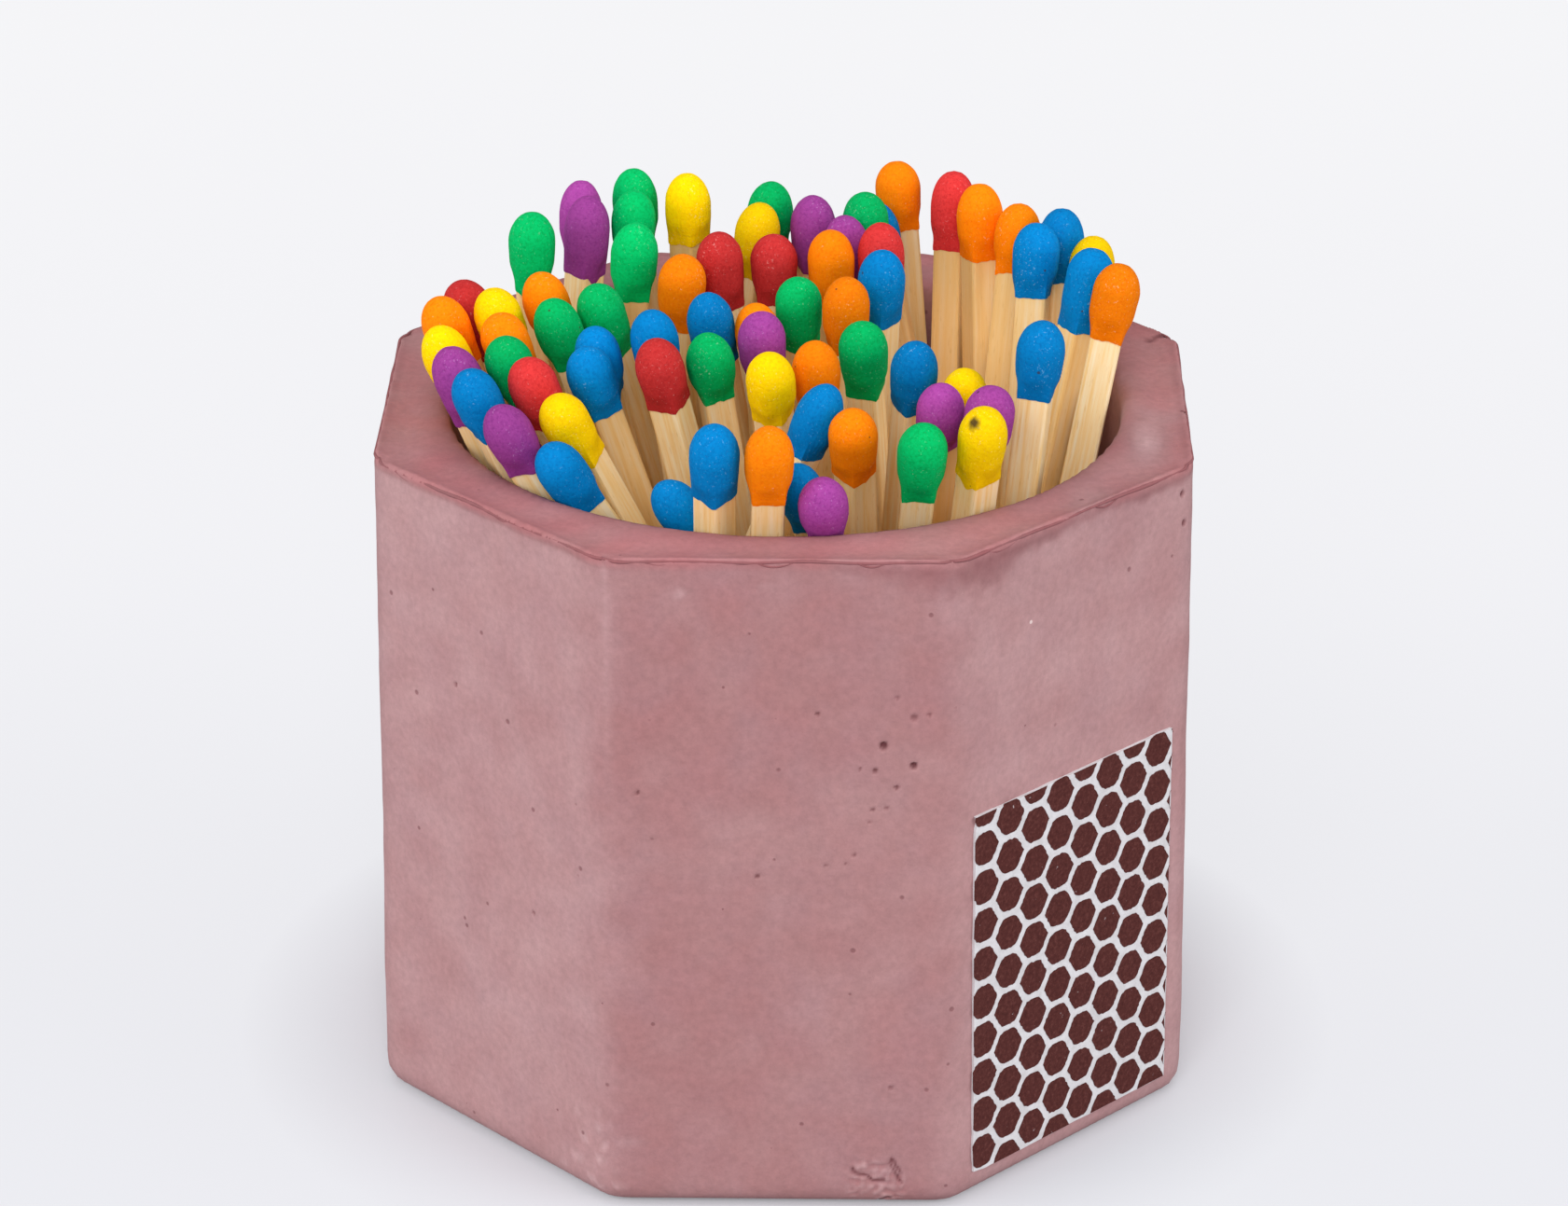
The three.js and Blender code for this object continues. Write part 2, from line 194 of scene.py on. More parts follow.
def cast_plaster():
    """Tinted casting plaster, unglazed: chalky and matt, clouded where the pigment mixed unevenly, redder
    and denser on the rubbed rim, with pinholes from air and a fine sandy grain."""
    material, add, shader = new_material("cast_plaster")
    place = add("TexCoord").outputs["Object"]
    tone, darkened, creased = (add("Attribute", attribute_name=held).outputs["Fac"]
                               for held in ("tone", "darkened", "creased"))
    clouds = add("TexNoise", {
        "Vector": place, "Scale": every(16), "Detail": 4.0, "Roughness": 0.6, "Distortion": 0.6})
    colour = add("ValToRGB", {"Fac": clouds},
                 stops=[(0.3, "#a37273"), (0.5, "#a67879"), (0.7, "#aa7f80")])
    # Violet patches, then redder where it was rubbed and where painted shade lies under the rim's edge and
    # in the wrinkles' hollows, and paler where dust lies and where sheen is painted on the side facets and
    # the wrinkles' crests
    patches = add("TexNoise", {"Vector": place, "Scale": every(4.5), "Detail": 5.0, "Roughness": 0.65})
    patched = add("MapRange", {"Value": patches, "From Min": 0.42, "From Max": 0.72, "To Max": 0.28})
    rubbed = add("MapRange", {"Value": tone})
    dust_and_sheen = add("MapRange", {"Value": tone, "From Max": -1.0})
    for share, tint in ((patched, "#a17f87"), (rubbed, "#ba6c70"), (dust_and_sheen, "#d8b5b7")):
        colour = add("Mix", {"Factor": share, "A": colour, "B": linear(tint)}, data_type="RGBA")
    grain = add("TexNoise", {"Vector": place, "Scale": every(0.5), "Detail": 3.0, "Roughness": 0.7})
    grain_tone = add("MapRange", {
        "Value": grain, "From Min": 0.3, "From Max": 0.7, "To Min": 0.9, "To Max": 1.08})
    colour = add("Mix", {"Factor": 1.0, "A": colour, "B": grain_tone},
                 data_type="RGBA", blend_type="MULTIPLY")
    # Pinholes, painted as dark spots of shade: few of the cells have one, and they differ in size
    from_middle, radius = spots(add, place, 1.5, "Red", 0.6, 0.001, 0.13)
    outward = add("Math", {0: from_middle, 1: radius}, operation="DIVIDE")
    hole = add("MapRange", {"Value": outward, "From Min": 1.1, "From Max": 0.6})
    soft_hole = add("Math", {0: hole, 1: 0.6}, operation="MULTIPLY")
    painted_shade_and_darker = add("Math", {0: soft_hole, 1: darkened}, operation="MAXIMUM")
    # Lime specks, drawn about twice their real size so that they show
    from_middle, radius = spots(add, place, 3.4, "Green", 0.8, 0.0, 0.045)
    speck = add("Math", {0: from_middle, 1: radius}, operation="LESS_THAN")
    # Painted shade in the holes, the pits, the creases where the skin wrinkled before it set, under the
    # rim's edge and along the foot, with the other darker marks, then the specks, one over the other
    for share, tint in ((painted_shade_and_darker, "#744347"), (creased, "#75464a"), (speck, "#dcc6c4")):
        colour = add("Mix", {"Factor": share, "A": colour, "B": linear(tint)}, data_type="RGBA")
    rough = add("MapRange", {"Value": patches, "To Min": 0.78, "To Max": 0.95})
    sunk = add("Math", {0: hole, 1: -1.5}, operation="MULTIPLY")
    relief = add("Math", {0: grain, 1: sunk})
    finish(add, shader, colour, relief, strength=0.4, depth=0.07, roughness=rough, ior=1.52, specular=0.3)
    return material


def aspen_splint():
    """Sawn aspen, dipped in wax: pale and straight-grained, honey-coloured here and there, with fine dark
    fibres along the splint and a stain where the wax and the head met it."""
    material, add, shader = new_material("aspen_splint")
    place = add("Attribute", attribute_name="own_place").outputs["Vector"]
    below = add("Attribute", attribute_name="below_head").outputs["Fac"]
    along = add("Mapping", {"Vector": place, "Scale": (1.0, 1.0, 0.04)})
    fibres = add("TexNoise", {"Vector": along, "Scale": every(0.35), "Detail": 5.0, "Roughness": 0.65})
    colour = add("ValToRGB", {"Fac": fibres},
                 stops=[(0.28, "#f6c67c"), (0.45, "#fdda9c"), (0.6, "#ffe8bc"), (0.75, "#fff4da")])
    sticks = add("TexNoise", {"Vector": place, "Scale": every(60), "Detail": 1.0})
    honey = add("MapRange", {"Value": sticks, "From Min": 0.42, "From Max": 0.66, "To Max": 0.6})
    drawn_out = add("Mapping", {"Vector": place, "Scale": (1.0, 1.0, 0.12)})
    pores = add("TexNoise", {"Vector": drawn_out, "Scale": every(0.12), "Detail": 2.0})
    pored = add("MapRange", {"Value": pores, "From Min": 0.62, "From Max": 0.75, "To Max": 0.4})
    near_head = add("MapRange", {"Value": below, "From Max": 4.5, "To Min": 1.0, "To Max": 0.0})
    stained = add("Math", {0: near_head, 1: honey}, operation="MULTIPLY")
    for share, tint in ((honey, "#fdca78"), (pored, "#dca75a"), (stained, "#dab06e")):
        colour = add("Mix", {"Factor": share, "A": colour, "B": linear(tint)}, data_type="RGBA")
    finish(add, shader, colour, fibres, strength=0.4, depth=0.05, roughness=0.6, ior=1.45, specular=0.35)
    return material


def dipped_head(name, body, deep, frost):
    """Match-head paste, dipped and dried: ground glass and pigment in glue, so matt and sandy, with pale
    dust in the grain, a few burst bubbles and a thinner, deeper-coloured edge where it ends."""
    material, add, shader = new_material(name)
    place = add("Attribute", attribute_name="own_place").outputs["Vector"]
    below, scorched = (add("Attribute", attribute_name=held).outputs["Fac"]
                       for held in ("below_head", "scorch"))
    # Sand, worn places, dust and the batch of paste: size in millimetres, detail and roughness
    sand, worn, dust, batch = (
        add("TexNoise", {"Vector": place, "Scale": every(size), "Detail": detail, "Roughness": rough})
        for size, detail, rough in ((0.2, 3.0, 0.7), (2.2, 4.0, 0.7), (0.18, 2.0, 0.8), (60, 1.0, 0.5)))
    sandy = add("ValToRGB", {"Fac": sand}, stops=[(0.3, deep), (0.55, body)])
    lower = add("MapRange", {"Value": below, "From Min": -3.6, "From Max": -0.4})
    thin = add("Math", {0: lower, 1: worn}, operation="MULTIPLY")
    thinned = add("Mix", {"Factor": thin, "A": sandy, "B": linear(deep)}, data_type="RGBA")
    batch_tone = add("MapRange", {
        "Value": batch, "From Min": 0.35, "From Max": 0.65, "To Min": 0.8, "To Max": 1.1})
    colour = add("Mix", {"Factor": 1.0, "A": thinned, "B": batch_tone},
                 data_type="RGBA", blend_type="MULTIPLY")
    # Dust in the grain, more of it where the head is worn, then burst bubbles, nearly black with painted
    # shade in their hollows, and the scorched spot
    dust_where = add("MapRange", {
        "Value": worn, "From Min": 0.4, "From Max": 0.7, "To Min": 0.1, "To Max": 0.0})
    dust_left = add("Math", {0: dust, 1: dust_where}, operation="SUBTRACT")
    dusty = add("MapRange", {"Value": dust_left, "From Min": 0.57, "From Max": 0.7, "To Max": 0.5})
    from_middle, radius = spots(add, place, 0.9, "Blue", 0.86, 0.0, 0.13)
    pit = add("Math", {0: from_middle, 1: radius}, operation="LESS_THAN")
    pitted = add("Math", {0: pit, 1: 0.7}, operation="MULTIPLY")
    for share, tint in ((dusty, frost), (pitted, "#3a2c28"), (scorched, "#5a4520")):
        colour = add("Mix", {"Factor": share, "A": colour, "B": linear(tint)}, data_type="RGBA")
    sunk = add("Math", {0: pit, 1: -1.2}, operation="MULTIPLY")
    relief = add("Math", {0: sand, 1: sunk})
    finish(add, shader, colour, relief, strength=0.5, depth=0.08, roughness=0.72, ior=1.5, specular=0.06)
    return material


def label_paper():
    """White self-adhesive label paper, uncoated: a faint fibre tone and a soft, nearly matt face."""
    material, add, shader = new_material("label_paper")
    place = add("TexCoord").outputs["Object"]
    fibre = add("TexNoise", {"Vector": place, "Scale": every(0.8), "Detail": 4.0, "Roughness": 0.7})
    tint = add("ValToRGB", {"Fac": fibre}, stops=[(0.35, "#ccc9cc"), (0.6, "#dad8dc")])
    finish(add, shader, tint, fibre, strength=0.15, depth=0.03, roughness=0.7, ior=1.5, specular=0.5)
    return material


def striking_compound():
    """Red phosphorus and ground glass, screen-printed: dark brown, gritty and dry, with pale pinholes and
    scuffs where the paper shows."""
    material, add, shader = new_material("striking_compound")
    place = add("TexCoord").outputs["Object"]
    grit = add("TexNoise", {"Vector": place, "Scale": every(0.25), "Detail": 3.0, "Roughness": 0.75})
    brown = add("ValToRGB", {"Fac": grit},
                stops=[(0.32, "#461f1d"), (0.55, "#552a27"), (0.75, "#683b37")])
    holes = add("TexNoise", {"Vector": place, "Scale": every(0.45), "Detail": 2.0, "Roughness": 0.6})
    bare = add("MapRange", {"Value": holes, "From Min": 0.74, "From Max": 0.8, "To Max": 0.7})
    scuffed = add("Mix", {"Factor": bare, "A": brown, "B": linear("#cdbfc0")}, data_type="RGBA")
    finish(add, shader, scuffed, grit, strength=0.5, depth=0.05, roughness=0.85, ior=1.5, specular=0.15)
    return material


PLASTER = cast_plaster()
ASPEN = aspen_splint()
LABEL_PAPER = label_paper()
COMPOUND = striking_compound()

# The heads' colours: the paste, its deeper parts and the dust on it
HEAD_TINTS = {
    "blue": ("#0084cc", "#0070b6", "#86bfe2"),
    "green": ("#00c068", "#00a452", "#98d8b0"),
    "purple": ("#a4459a", "#8e3788", "#cf9ed4"),
    "yellow": ("#ffd400", "#f4c000", "#fbeeb0"),
    "orange": ("#ff8806", "#f87600", "#fac898"),
    "red": ("#d43838", "#bc2a2b", "#eaa4a0"),
}
HEADS = {colour: dipped_head(f"{colour}_head", *tints) for colour, tints in HEAD_TINTS.items()}


# Pot

def turn_profile(rings, sides):
    """A closed round solid: a short drum whose top is raised, ring by ring, to each radius and height."""
    first_radius, first_height = rings[0]
    second_height = rings[1][1]
    depth = (second_height - first_height) * MM
    deselect()
    bpy.ops.mesh.primitive_cylinder_add(
        vertices=sides, radius=first_radius * MM, depth=depth, end_fill_type="NGON",
        location=(0, 0, first_height * MM + depth / 2))
    solid = bpy.context.object
    apply_place()
    edit("FACE")
    mesh = bmesh.from_edit_mesh(solid.data)
    for face in mesh.faces:
        face.select_set(face.normal.z > 0.9)
    mesh.select_flush_mode()
    bmesh.update_edit_mesh(solid.data)
    radius = first_radius
    height = second_height
    for next_radius, next_height in rings[1:]:
        if next_height > height:
            bpy.ops.mesh.extrude_region_move(
                TRANSFORM_OT_translate={"value": (0, 0, (next_height - height) * MM)})
        share = next_radius / radius
        bpy.ops.transform.resize(value=(share, share, 1), center_override=(0, 0, next_height * MM))
        radius = next_radius
        height = next_height
    end_edit()
    return solid


def select_edges(piece, test):
    """In edit mode, selects just the edges whose two ends, in millimetres, pass a test."""
    mesh = bmesh.from_edit_mesh(piece.data)
    bpy.ops.mesh.select_all(action="DESELECT")
    for edge in mesh.edges:
        edge.select_set(test(*(v.co / MM for v in edge.verts)))
    bmesh.update_edit_mesh(piece.data)


def cut(place, outward, **settings):
    """In edit mode, cuts through the whole mesh at a place in millimetres."""
    bpy.ops.mesh.select_all(action="SELECT")
    bpy.ops.mesh.bisect(plane_co=Vector(place) * MM, plane_no=outward, **settings)


def apply_modifier(piece, kind, **settings):
    make_active(piece)
    modifier = piece.modifiers.new(kind.lower(), kind)
    for name, value in settings.items():
        setattr(modifier, name, value)
    bpy.ops.object.modifier_apply(modifier=modifier.name)


def smooth_step(low, high, values):
    share = np.clip((values - low) / (high - low), 0, 1)
    return share * share * (3 - 2 * share)


def bell(values, width):
    """One in the middle, falling softly to nothing past a width."""
    return np.exp(-((values / width) ** 2))


def cloud(points, size, seed):
    """Smooth noise from -1 to 1 at points in millimetres, with lumps of about that size."""
    shift = Vector((seed * 17.3, seed * 5.1, seed * 11.7))
    return np.array([noise.noise(Vector(p) / size + shift) for p in points])


def facet_frame(angle):
    """Across and outward directions of the facet that faces an angle."""
    outward = np.array([math.cos(angle), math.sin(angle), 0])
    across = np.array([-math.sin(angle), math.cos(angle), 0])
    return across, outward


def points_of(piece, what="co"):
    """A mesh's points, or their normals, as rows of three."""
    values = np.zeros(len(piece.data.vertices) * 3)
    piece.data.vertices.foreach_get(what, values)
    return values.reshape(-1, 3)


def keep_at_points(piece, name, values):
    """Keeps a number or a place at each point of a piece, for its material."""
    kind, field = ("FLOAT_VECTOR", "vector") if values.ndim == 2 else ("FLOAT", "value")
    attribute = piece.data.attributes.new(name, kind, "POINT")
    attribute.data.foreach_set(field, values.astype(np.float32).ravel())


FACET_TURN = 2 * math.pi / FACETS
FRONT = math.radians(-90)
FRONT_LEFT = math.radians(-135)
FRONT_RIGHT = math.radians(-45)
RIGHT = math.radians(0)
BACK_RIGHT = math.radians(45)

# Burst bubbles and chips: the facet, across and height on it, radius and depth, in millimetres
PITS = [
    (FRONT, 6.2, 31.7, 0.25, 0.30), (FRONT, 8.0, 30.4, 0.23, 0.30), (FRONT, 8.0, 33.6, 0.24, 0.12),
    (FRONT, 8.9, 33.8, 0.14, 0.12), (FRONT, 7.0, 34.9, 0.15, 0.10), (FRONT, 7.0, 29.0, 0.16, 0.18),
    (FRONT, 5.7, 30.1, 0.16, 0.18), (FRONT, 4.8, 30.2, 0.11, 0.12), (FRONT, 6.4, 27.6, 0.13, 0.12),
    (FRONT, 5.6, 27.5, 0.14, 0.14), (FRONT, 5.4, 26.7, 0.12, 0.10), (FRONT, 4.5, 24.5, 0.13, 0.12),
    (FRONT, 4.0, 23.9, 0.12, 0.10), (FRONT, 2.8, 23.8, 0.12, 0.10), (FRONT, 6.8, 8.6, 0.15, 0.12),
    (FRONT, 2.3, 33.8, 0.14, 0.16), (FRONT, -8.4, 28.5, 0.16, 0.16), (FRONT, -1.3, 23.0, 0.14, 0.16),
    (FRONT_RIGHT, 9.4, 42.0, 0.24, 0.20), (FRONT_RIGHT, 9.6, 40.0, 0.22, 0.18),
    (FRONT_LEFT, -3.0, 31.0, 0.14, 0.16), (FRONT_LEFT, 4.0, 18.0, 0.13, 0.15),
    (RIGHT, 7.4, 43.2, 0.32, 0.25), (RIGHT, -2.0, 43.4, 0.26, 0.22), (BACK_RIGHT, -9.5, 43.4, 0.40, 0.25),
]
# On the front facet, across and height in millimetres: the patch of wrinkled skin near the foot with its
# open creases, and the pale scuffs near the rim
WRINKLES_MIDDLE = (6.1, 1.9)
WRINKLES_REACH = (1.9, 1.8)
CREASES = [
    [(4.5, 2.9), (4.6, 2.6), (5.3, 2.4), (5.45, 2.4), (5.75, 2.05), (6.5, 2.1)],
    [(6.9, 3.6), (6.8, 3.3), (7.2, 2.6), (7.3, 2.2), (7.5, 2.0)],
    [(6.95, 3.6), (7.25, 3.0), (7.5, 2.7)],
    [(6.0, 0.1), (6.25, 0.5), (6.6, 0.7), (6.85, 0.75)],
]
SCUFFS = [
    [(-6.3, 41.6), (-4.2, 41.2), (-2.5, 41.3)],
    [(-1.2, 42.0), (0.6, 41.8)],
]
# Where the seam on the rim lifted: the facet, counted round from the front, then the middle across it, the
# length and how far it hangs down, in millimetres
LIFTED = [
    (0, -0.3, 2.2, 0.27), (0, 5.4, 1.6, 0.24), (0, -7.0, 1.8, 0.18), (-1, -7.0, 2.4, 0.3),
    (-1, 1.5, 1.6, 0.18), (1, -6.5, 2.6, 0.3), (1, 2.5, 1.8, 0.24), (4, 3.0, 2.0, 0.24),
    (6, -4.0, 2.2, 0.24),
]
# The softened corners between facets, the faces round the bore, and the mesh size of the cast surface
CORNER_BEVEL = 0.9
BORE_SIDES = 96
VOXEL = 0.55


def cast_pot():
    """The pot: an octagonal block with softened edges, bored out, then given its cast surface."""
    corner = 1 / math.cos(math.pi / FACETS)
    deselect()
    bpy.ops.mesh.primitive_cylinder_add(
        vertices=FACETS, radius=BASE_APOTHEM * corner * MM, depth=POT_HEIGHT * MM, end_fill_type="NGON",
        location=(0, 0, POT_HEIGHT / 2 * MM), rotation=(0, 0, math.pi / FACETS))
    pot = bpy.context.object
    pot.name = "cast_pot"
    apply_place()
    edit("EDGE")
    select_edges(pot, lambda a, b: min(a.z, b.z) > POT_HEIGHT - 0.1)
    taper = RIM_APOTHEM / BASE_APOTHEM
    bpy.ops.transform.resize(value=(taper, taper, 1), center_override=(0, 0, POT_HEIGHT * MM))
    select_edges(pot, lambda a, b: abs(a.z - b.z) > POT_HEIGHT / 2)
    bpy.ops.mesh.bevel(offset=CORNER_BEVEL * MM, segments=3, affect="EDGES")
    select_edges(pot, lambda a, b: max(a.z, b.z) < 0.1)
    bpy.ops.mesh.bevel(offset=BASE_EDGE_RADIUS * MM, segments=4, affect="EDGES")
    end_edit()

    lip_steps = 5
    lip = [(BORE_RIM_RADIUS + LIP_RADIUS * (1 - math.cos(a)), POT_HEIGHT - LIP_RADIUS * (1 - math.sin(a)))
           for a in (math.pi / 2 * i / lip_steps for i in range(lip_steps + 1))]
    above_rim = (lip[-1][0], POT_HEIGHT + 2)
    bore = turn_profile([(BORE_FLOOR_RADIUS, FLOOR_THICKNESS), *lip, above_rim], BORE_SIDES)
    apply_modifier(pot, "BOOLEAN", object=bore, operation="DIFFERENCE", solver="EXACT")
    bpy.data.objects.remove(bore)
    apply_modifier(pot, "REMESH", mode="VOXEL", voxel_size=VOXEL * MM)

    # Finer faces where the rim, pits and wrinkles need them
    make_active(pot)
    edit("FACE")
    wrinkles_place = Vector((WRINKLES_MIDDLE[0], -BASE_APOTHEM, WRINKLES_MIDDLE[1]))
    pit_places = []
    for angle, across, height, radius, _ in PITS:
        sideways, outward = facet_frame(angle)
        place = Vector(sideways * across + outward * RIM_APOTHEM) + Vector((0, 0, height))
        pit_places.append((place, radius))
    for margin in (1.0, 0.55):
        mesh = bmesh.from_edit_mesh(pot.data)
        for face in mesh.faces:
            middle = face.calc_center_median() / MM
            apothem = max(abs(middle.x), abs(middle.y), (abs(middle.x) + abs(middle.y)) / math.sqrt(2))
            near_rim_edge = middle.z > POT_HEIGHT - 1.6 * margin and apothem > RIM_APOTHEM - margin
            near_wrinkles = (middle - wrinkles_place).length < max(WRINKLES_REACH) + margin
            near_pit = any((middle - place).length < radius + margin for place, radius in pit_places)
            face.select_set(near_rim_edge or near_wrinkles or near_pit)
        bmesh.update_edit_mesh(pot.data)
        bpy.ops.mesh.subdivide(number_cuts=1)
    end_edit()
    shape_plaster(pot)
    bpy.ops.object.shade_smooth()
    pot.data.materials.clear()
    pot.data.materials.append(PLASTER)
    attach(pot, "pot")
    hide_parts("pot")


def gap_to_line(x, z, line):
    """How far points on a facet are from a line of straight runs across it."""
    least = np.full(len(x), 99.0)
    for (x0, z0), (x1, z1) in zip(line, line[1:]):
        share = ((x - x0) * (x1 - x0) + (z - z0) * (z1 - z0)) / ((x1 - x0) ** 2 + (z1 - z0) ** 2)
        share = np.clip(share, 0, 1)
        least = np.minimum(least, np.hypot(x - x0 - share * (x1 - x0), z - z0 - share * (z1 - z0)))
    return least


def shape_plaster(pot):
    """The cast surface: slight waves, a dished rim with a rough edge, pits, grime and wrinkled skin, with
    painted shade and sheen.
    """
    places = points_of(pot) / MM
    normals = points_of(pot, "normal")
    count = len(places)
    x, y, z = places.T
    radius = np.hypot(x, y)
    apothem = np.max([np.abs(x), np.abs(y), (np.abs(x) + np.abs(y)) / math.sqrt(2)], axis=0)
    face_apothem = BASE_APOTHEM - (BASE_APOTHEM - RIM_APOTHEM) * z / POT_HEIGHT
    inward = face_apothem - apothem
    down = POT_HEIGHT - z

    # The remesh rounded the rim's outer edge, so along each facet it goes back out to a sharp one
    heading = np.arctan2(y, x)
    degrees = np.degrees(heading)
    facing_angle = FRONT + FACET_TURN * np.round((heading - FRONT) / FACET_TURN)
    outward_way = np.stack([np.cos(facing_angle), np.sin(facing_angle), np.zeros(count)], axis=1)
    from_middle = np.abs(radius * np.sin(heading - facing_angle))
    half_facet = face_apothem * math.tan(FACET_TURN / 2)
    from_corner = half_facet - from_middle
    lack = np.clip(np.minimum(inward, down), 0, None) * smooth_step(0.4, 1.6, from_corner)
    rounded = 0.9
    lack = np.where((inward < rounded) & (down < rounded), lack, 0)
    to_side = inward < down
    places = places + outward_way * (lack * to_side)[:, None]
    places[:, 2] += lack * ~to_side

    # Slight waves all over the outside
    outside = smooth_step(BORE_RIM_RADIUS - 0.5, BORE_RIM_RADIUS + 0.5, radius)
    lumps = cloud(places, 9.0, 1)
    ripples = cloud(places, 2.6, 2)
    fine = cloud(places, 1.1, 3)
    off_ground = smooth_step(0.2, 1.6, z)
    out = off_ground * (0.07 * lumps + 0.025 * ripples + 0.012 * fine) * outside
    moved = places + normals * out[:, None]
    tone = 0.12 * ripples * outside

    # Rim: dished and rosier, with a ragged edge, a pale rubbed patch at the right and dark lines along it
    on_top = smooth_step(0.9, 0.2, down) * outside
    on_side = (1 - on_top) * outside
    moved[:, 2] -= on_top * 0.16 * bell(inward - 1.6, 0.9)
    rough = cloud(places, 0.8, 4)
    at_edge = bell(inward, 0.45) * bell(down, 0.45) * outside
    moved += normals * (at_edge * (0.04 + 0.06 * rough))[:, None]
    tone += on_top * (0.3 + 0.3 * lumps + 0.2 * ripples)
    rubbed = bell(x - 22.3, 1.1) * bell(y + 6.6, 3.6) * (0.8 + 0.5 * ripples)
    tone -= on_top * np.clip(rubbed, 0, 1) * (tone + 0.5)
    near_bore = smooth_step(BORE_RIM_RADIUS + 2.4, BORE_RIM_RADIUS + 0.5, radius)
    edge_line = bell(inward - 0.4, 0.22)
    darkened = on_top * np.clip(0.18 * near_bore + 0.2 * edge_line + 0.12 * ripples, 0, 1)

    # Grime and painted shade in a band under the edge, deepest beside the corner right of the front, and
    # the facets right of the front darker near their top
    deepest = bell(degrees + 65, 11)
    along_right = bell(degrees + 36, 13)
    uneven = 1 + 0.5 * cloud(places, 4.0, 5) + 0.35 * rough
    band_depth = (0.5 + 2.5 * deepest + 0.9 * along_right) * uneven
    grime_and_shade = np.clip(1 - down / np.maximum(band_depth, 0.3), 0, 1) * on_side
    right_top = bell(down, 6) * smooth_step(-70, -55, degrees) * on_side
    darkened += grime_and_shade * (0.62 + 0.25 * rough) + right_top * (0.09 + 0.06 * lumps)
    tone += grime_and_shade * 0.25

    # Painted shade along the foot, where it meets the table
    darkened += 0.55 * smooth_step(0.5, 0.1, z) * outside

    # Pits and chips, sunk into the surface, with painted shade in their hollows
    for angle, across, height, reach, depth in PITS:
        sideways, outward = facet_frame(angle)
        side = places @ sideways - across
        up = z - height
        facing = places @ outward > RIM_APOTHEM - 1.6
        away = np.hypot(side, up) / reach + 0.25 * rough
        hollow = np.where(facing, smooth_step(1.25, 0.55, away), 0)
        moved -= outward * (hollow * depth)[:, None]
        darkened = np.maximum(darkened, hollow * min(depth / 0.2, 1))

    # The skin that wrinkled near the base edge: small soft folds, painted paler on their crests and redder
    # in their hollows as light and shade, with a few open creases painted dark as shade
    side = (x - WRINKLES_MIDDLE[0]) / WRINKLES_REACH[0]
    up = (z - WRINKLES_MIDDLE[1]) / WRINKLES_REACH[1]
    away = np.hypot(side, up) + 0.45 * cloud(places, 1.4, 6)
    facing = y < -BASE_APOTHEM + 1.8
    wrinkled = np.where(facing, smooth_step(1.1, 0.6, away), 0)
    folds = cloud(places, 0.36, 7)
    moved[:, 1] -= wrinkled * 0.13 * folds
    tone -= wrinkled * (0.08 + 0.4 * folds)
    creased = np.zeros(count)
    for crease in CREASES:
        gap = gap_to_line(x + 0.07 * folds, z + 0.07 * rough, crease)
        creased = np.maximum(creased, np.where(facing, bell(gap, 0.1), 0))
    moved[:, 1] += 0.1 * creased
    for scuff in SCUFFS:
        gap = gap_to_line(x, z + 0.1 * ripples, scuff)
        tone -= np.where(facing, 0.3 * bell(gap, 0.09) * (0.6 + rough), 0)

    # Crumbs of lime low on the corner left of the front
    by_corner = bell(x + BASE_APOTHEM * math.tan(FACET_TURN / 2) + 0.6, 2.6)
    low_down = smooth_step(8.0, 4.0, z) * (y < -BASE_APOTHEM + 3.5)
    tone -= 0.32 * by_corner * low_down * smooth_step(0.2, 0.45, cloud(places, 0.7, 11))

    # Pale rubbed line down the corner between the front and the facet left of it
    line = bell(x + half_facet - 0.15, 0.22) * (y < -BASE_APOTHEM + 1.5) * smooth_step(26, 40, z)
    tone -= line * (0.14 + 0.2 * ripples)

    # Painted sheen: the facets beside the front one, which turn away from the eye, are made paler
    side_sheen = 0.3 * on_side * (1 - grime_and_shade) * smooth_step(8.5, 12.5, np.abs(x))
    tone -= side_sheen * (0.8 + 0.2 * lumps)

    pot.data.vertices.foreach_set("co", (moved * MM).ravel())
    pot.data.update()
    keep_at_points(pot, "tone", np.clip(tone, -1, 1))
    keep_at_points(pot, "creased", creased)
    keep_at_points(pot, "darkened", darkened)


